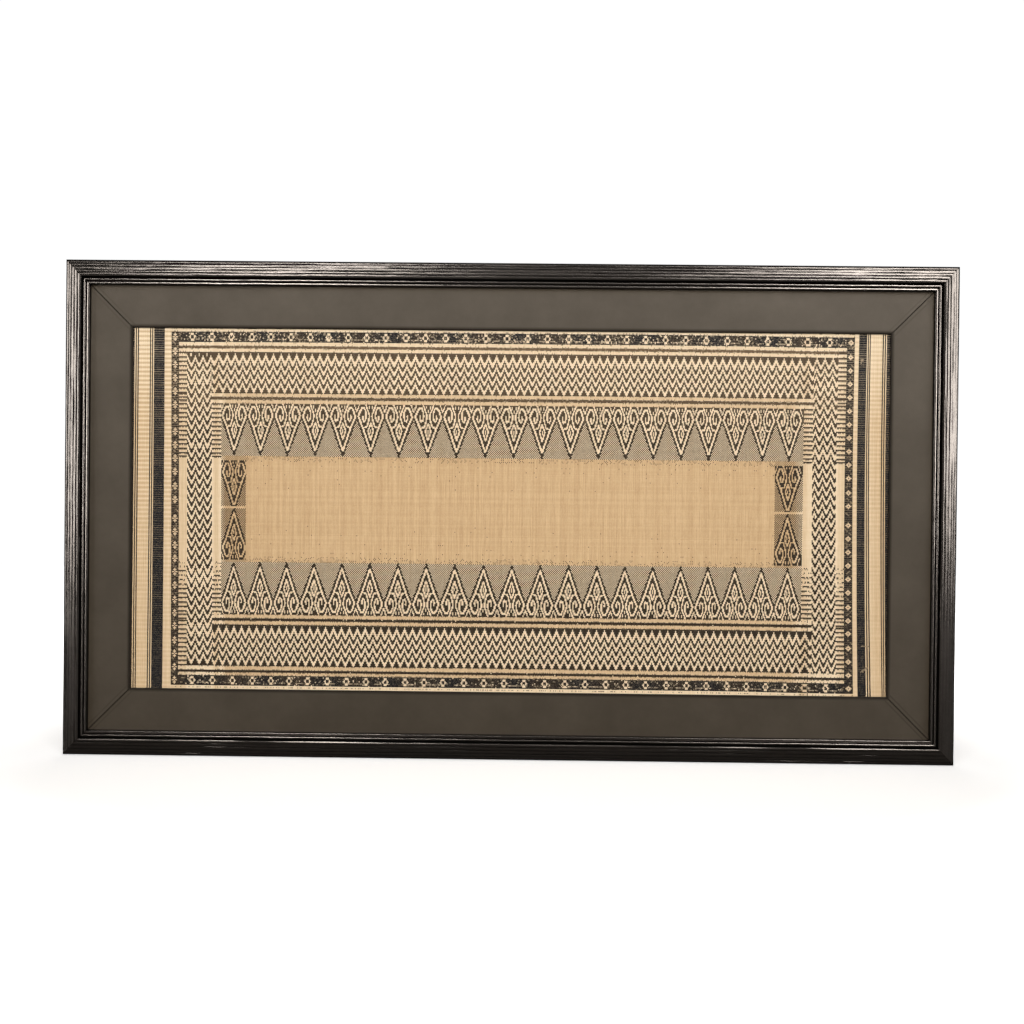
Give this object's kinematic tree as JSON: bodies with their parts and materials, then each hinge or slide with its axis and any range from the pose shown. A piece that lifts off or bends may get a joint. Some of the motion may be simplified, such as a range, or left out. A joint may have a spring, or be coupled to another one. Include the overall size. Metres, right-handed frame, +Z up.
{
  "type": "framed woven reed mat",
  "caption": "Patterned woven reed mat laid flat under a cloth-covered liner in a reeded dark wooden frame that hangs on a wall.",
  "frame": {"origin": "on the back of the top rail, half way along it, in the plane of the wall", "axes": "+Z up, -Y the way the mat faces, +X to the right as the mat is looked at"},
  "size_m": [1.34, 0.0267, 0.746],
  "materials": {
    "dark_wood": "open-grained hardwood, ebonised and waxed to a low sheen",
    "liner_cloth": "matt dark taupe cloth, finely woven, glued over wood",
    "reed": "plaited reed strips, straw-coloured and dyed brown-black, satin",
    "board": "plain bare plywood"
  },
  "bodies": {
    "root": {"frame_top": "dark_wood", "frame_bottom": "dark_wood", "frame_left": "dark_wood", "frame_right": "dark_wood", "liner_top": "liner_cloth", "liner_bottom": "liner_cloth", "liner_left": "liner_cloth", "liner_right": "liner_cloth", "woven_mat": "reed", "back_board": "board"}
  },
  "joints": []
}
